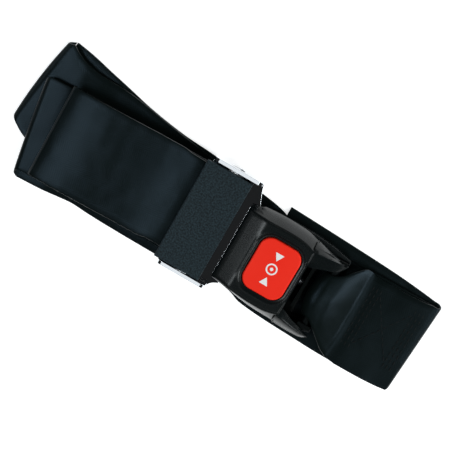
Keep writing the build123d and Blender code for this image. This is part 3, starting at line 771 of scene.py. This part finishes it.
def make_arms():
    """The two tapering arms: a ridge from the lip's corner, an inner facet and an outer wall."""
    ridge_z, facet_z = steady_curve(ARM_RIDGE_Z), steady_curve(ARM_FACET_Z)
    first_x, count = LIP_X - 1.2, 26
    for name, lines in ARMS.items():
        outer_line, ridge_line, inner_line = (steady_curve(lines[k]) for k in ("outer", "ridge", "inner"))
        shape = bmesh.new()
        rows = []
        for k in range(count + 1):
            x = first_x + (ARM_TIP_X - first_x) * k / count
            outer, ridge, inner = outer_line(x)[0], ridge_line(x)[0], inner_line(x)[0]
            inner_floor = min(outer - 0.4, max(inner, FRAME_EAR_Y)) if x < FRAME_END_X else inner
            section = arm_section(outer, ridge, inner, inner_floor, ridge_z(x)[0], facet_z(x)[0])
            rows.append([shape.verts.new(Vector((x, lines["hand"] * y, z)) * MM) for y, z in section])
        grid_faces(shape, rows)
        shape.faces.new(rows[0])
        shape.faces.new(rows[-1])
        bmesh.ops.recalc_face_normals(shape, faces=shape.faces)
        arm = new_piece(name, shape)
        round_edges(arm, 0.25, 2, 40)
        settle(arm)
        smooth_by_angle(arm.data, math.radians(34))
        dress(arm, "housing")
        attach(arm, "buckle")


# ---------------------------------------------------------------- stitches
def stitch_tree():
    """Geometry nodes: short rounded threads laid end to end along a path."""
    tree = bpy.data.node_groups.new("stitches", "GeometryNodeTree")
    tree.interface.new_socket("Path", in_out="INPUT", socket_type="NodeSocketGeometry")
    sizes = {"Stitch length": 0.0026, "Stitch pitch": 0.0034, "Thread radius": 0.00028}
    for name, default in sizes.items():
        socket = tree.interface.new_socket(name, in_out="INPUT", socket_type="NodeSocketFloat")
        socket.default_value = default
    tree.interface.new_socket("Thread", in_out="INPUT", socket_type="NodeSocketMaterial")
    tree.interface.new_socket("Geometry", in_out="OUTPUT", socket_type="NodeSocketGeometry")

    def add(kind, **settings):
        made = tree.nodes.new(kind)
        for key, value in settings.items():
            setattr(made, key, value)
        return made

    def link(a, output, b, socket):
        tree.links.new(a.outputs[output], b.inputs[socket])

    given, result = add("NodeGroupInput"), add("NodeGroupOutput")
    points = add("GeometryNodeCurveToPoints", mode="LENGTH")
    link(given, "Path", points, "Curve")
    link(given, "Stitch pitch", points, "Length")
    thread = add("GeometryNodeMeshUVSphere")
    thread.inputs["Segments"].default_value = 8
    thread.inputs["Rings"].default_value = 6
    thread.inputs["Radius"].default_value = 1.0
    half = add("ShaderNodeMath", operation="MULTIPLY")
    half.inputs[1].default_value = 0.5
    link(given, "Stitch length", half, 0)
    size = add("ShaderNodeCombineXYZ")
    link(given, "Thread radius", size, "X")
    link(given, "Thread radius", size, "Y")
    link(half, 0, size, "Z")
    lay = add("GeometryNodeInstanceOnPoints")
    link(points, "Points", lay, "Points")
    link(thread, "Mesh", lay, "Instance")
    link(points, "Rotation", lay, "Rotation")
    link(size, 0, lay, "Scale")
    real = add("GeometryNodeRealizeInstances")
    link(lay, "Instances", real, "Geometry")
    paint = add("GeometryNodeSetMaterial")
    link(real, "Geometry", paint, "Geometry")
    link(given, "Thread", paint, "Material")
    smooth = add("GeometryNodeSetShadeSmooth")
    link(paint, "Geometry", smooth, "Geometry")
    link(smooth, "Geometry", result, "Geometry")
    return tree


def stitched(name, paths, replaced, surface_z):
    """One piece of thread stitches along straight paths on the sewn layers."""
    curve = bpy.data.curves.new(name + "_path", "CURVE")
    curve.dimensions = "3D"
    for (ax, ay), (bx, by) in paths:
        count = 12
        spline = curve.splines.new("POLY")
        spline.points.add(count)
        for k, point in enumerate(spline.points):
            share = k / count
            x, y = ax + (bx - ax) * share, ay + (by - ay) * share
            point.co = (x * MM, y * MM, surface_z(x) * MM, 1)
    guide = bpy.data.objects.new(name, curve)
    bpy.context.scene.collection.objects.link(guide)
    tree = stitch_tree()
    maker = guide.modifiers.new("stitches", "NODES")
    maker.node_group = tree
    inputs = {item.name: item.identifier for item in tree.interface.items_tree if item.in_out == "INPUT"}
    maker[inputs["Thread"]] = FINISHES["thread"]
    view = bpy.context.evaluated_depsgraph_get()
    mesh = bpy.data.meshes.new_from_object(guide.evaluated_get(view))
    bpy.data.objects.remove(guide)
    piece = new_piece(name, mesh)
    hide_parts(replaced)
    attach(piece, "buckle")


def make_stitching(top_leg):
    """Three rows of stitches at each end of the sewn layers, with a cross between them."""
    heights = steady_curve([(s.centre.x, s.centre.z) for s in top_leg])

    def surface_z(x):
        return heights(x)[0] + WEB_THICK / 2 + 0.05

    low_y, high_y = -17.5, 14.5
    left, right, row_gap = 51.0, 80.0, 2.2
    rows = [((x, low_y), (x, high_y)) for n in range(3) for x in (left + row_gap * n, right - row_gap * n)]
    inner_left, inner_right = left + 2 * row_gap + 1.4, right - 2 * row_gap - 1.4
    cross_low, cross_high = low_y + 3, high_y - 3
    cross = [((inner_left, cross_low), (inner_right, cross_high)),
             ((inner_left, cross_high), (inner_right, cross_low))]
    stitched("stitching_rows", rows, "stitch_rows", surface_z)
    stitched("stitching_cross", cross, "stitch_cross", surface_z)


# ---------------------------------------------------------------- metal and plastic parts
def rail_lift(point):
    """How far a point of the adjuster's two flanges is lifted, so that their tops slope down towards -Y."""
    flange, slope, opening_half = 2.0, 0.195, 20
    tongue_low, tongue_high = low("tongue_plate"), high("tongue_plate")
    if point.z < low("bar_cover").z or abs(point.y - middle("tongue_plate").y) < opening_half:
        return 0.0
    lower_edge = tongue_high.y - flange if point.y > 0 else tongue_low.y
    return (point.y - lower_edge) * slope


def make_hard_parts():
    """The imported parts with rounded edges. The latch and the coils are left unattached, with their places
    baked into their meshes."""
    rounded_copy("housing_base", "housing_lower", "housing", "buckle", 0.30)
    rounded_copy("button", "button_cap", "button", "press_button", 0.15)
    rounded_copy("button_icon", "button_sign", "icon", "press_button", 0.05, 1)
    rounded_copy("tongue_plate", "tongue", "chrome", "tongue", 0.55, 4, raised=rail_lift)
    rounded_copy("slide_bar", "bar", "steel", "lock_bar", 0.15)
    rounded_copy("bar_cover", "grip_cover", "cover", "lock_bar", 0.50, 3)
    rounded_copy("buckle_frame", "frame_plate", "steel", "buckle", 0.15, finish="dark_steel")
    rounded_copy("anchor_bar", "anchor", "steel", "buckle", 0.15, finish="dark_steel")
    latch = rounded_copy("latch_leaf", "latch", "spring_steel", None, 0.10)
    rounded_copy("leaf_rivets", "rivets", "steel", "buckle", 0.15)
    rounded_copy("ejector", "pusher_block", "ejector", "pusher", 0.20)
    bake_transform(latch)
    for node in ("button_spring_left", "button_spring_right"):
        coil = rounded_copy(node, node.replace("button_spring", "coil"), "spring_steel", None, 0.02, 1)
        foot, head = middle(node), middle(node)
        foot.z, head.z = low(node).z, high(node).z
        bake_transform(coil)
    dress(nodes["ejector_spring"], "spring_steel")


# ---------------------------------------------------------------- floor, light and camera
def make_studio():
    scene = bpy.context.scene
    scene.view_settings.view_transform = "Standard"
    floor_shape = bmesh.new()
    half, floor_z = 2.5, -0.0002
    corners = ((-half, -half), (half, -half), (half, half), (-half, half))
    floor_shape.faces.new([floor_shape.verts.new((x, y, floor_z)) for x, y in corners])
    floor = new_piece("floor", floor_shape)
    paper = Finish("floor_paper", Roughness=0.9, Specular_IOR_Level=0.1, Emission_Strength=0.62)
    paper.shader.inputs["Emission Color"].default_value = rgb(1, 1, 1)
    tone = paper.noise(paper.object_place(), 3.0, 2.0)
    paper.set("Base Color", paper.mix(tone, rgb(0.90, 0.90, 0.90), rgb(0.92, 0.92, 0.92)))
    floor.data.materials.append(paper.material)
    world = bpy.data.worlds.new("studio")
    world.use_nodes = True
    world.node_tree.nodes["Background"].inputs["Color"].default_value = rgb(0.93, 0.97, 1.0)
    world.node_tree.nodes["Background"].inputs["Strength"].default_value = 0.016
    scene.world = world
    centre = Vector((-0.030, 0.004, 0.0))

    def softbox(name, direction, distance, width, height, power, colour):
        light = bpy.data.lights.new(name, "AREA")
        light.shape = "RECTANGLE"
        light.size, light.size_y = width, height
        light.energy = power
        light.color = colour
        lamp = bpy.data.objects.new(name, light)
        aim = Vector(direction).normalized()
        lamp.location = centre + aim * distance
        lamp.rotation_euler = aim.to_track_quat("Z", "Y").to_euler()
        scene.collection.objects.link(lamp)

    softbox("key", (-0.42, -0.17, 1.0), 1.1, 0.30, 0.34, 3.8, (0.90, 0.97, 1.0))
    softbox("fill", (0.56, -0.17, 1.0), 1.25, 0.84, 0.34, 3.4, (0.95, 1.0, 0.98))
    softbox("front_top", (0.0, -0.64, 1.0), 1.1, 0.80, 0.22, 0.52, (0.95, 0.98, 1.0))
    softbox("right_side", (1.0, 0.15, 0.55), 1.0, 0.6, 0.30, 6.0, (0.92, 0.98, 1.0))
    softbox("left_side", (-1.0, 0.1, 0.50), 1.0, 0.5, 0.30, 1.2, (1.0, 0.99, 0.97))
    softbox("back_side", (0.1, 1.0, 0.55), 1.0, 0.7, 0.30, 0.35, (1.0, 0.94, 0.90))


def make_camera():
    """Almost straight down, leaning a little to +Y, with +X running to the lower right."""
    tilt, roll, distance = math.radians(10.5), math.radians(30.0), 0.60
    sensor, view_width = 36.0, 0.232
    target = Vector((-0.0306, 0.0036, 0.0))
    back = Vector((0, math.sin(tilt), math.cos(tilt)))
    along, across = Vector((1, 0, 0)), Vector((0, math.cos(tilt), -math.sin(tilt)))
    right = along * math.cos(roll) + across * math.sin(roll)
    up = across * math.cos(roll) - along * math.sin(roll)
    camera = bpy.data.objects.new("camera", bpy.data.cameras.new("camera"))
    camera.data.sensor_width = sensor
    camera.data.lens = sensor * distance / view_width
    rotation = Matrix((right, up, back)).transposed().to_4x4()
    camera.matrix_world = Matrix.Translation(target + back * distance) @ rotation
    bpy.context.scene.collection.objects.link(camera)
    bpy.context.scene.camera = camera


make_camera()
top_leg = make_sewn_end()
make_folds()
make_top_run()
make_housing_top()
make_arms()
make_stitching(top_leg)
make_hard_parts()
make_studio()
